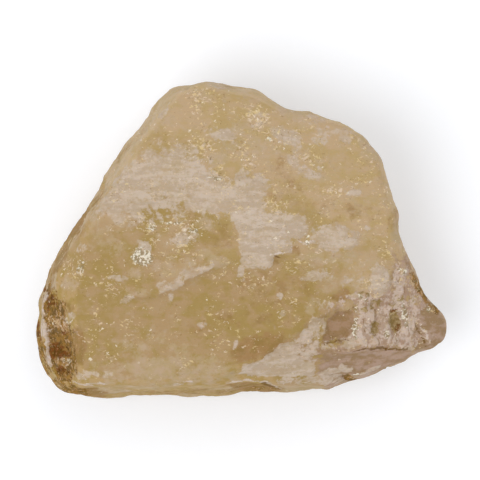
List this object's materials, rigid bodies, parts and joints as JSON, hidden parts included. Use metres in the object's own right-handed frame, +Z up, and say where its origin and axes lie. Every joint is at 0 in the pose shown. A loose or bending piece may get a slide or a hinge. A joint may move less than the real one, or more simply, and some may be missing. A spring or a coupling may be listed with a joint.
{
  "type": "rough witherite stone",
  "caption": "Rough lump of honey-coloured witherite with a broad waxy face, frosted patches and broken edges, resting on a flat spot.",
  "frame": {"origin": "middle of the stone's box seen from above, at the height of the flat spot it rests on", "axes": "+X along the stone's longest side, towards its narrow tip; +Z up, out of the broad face; +Y towards the peak of the far edge"},
  "size_m": [0.06, 0.0462, 0.0256],
  "materials": {
    "witherite": "waxy, satin, with frosted patches"
  },
  "bodies": {
    "root": {"witherite_stone": "witherite"}
  },
  "joints": []
}
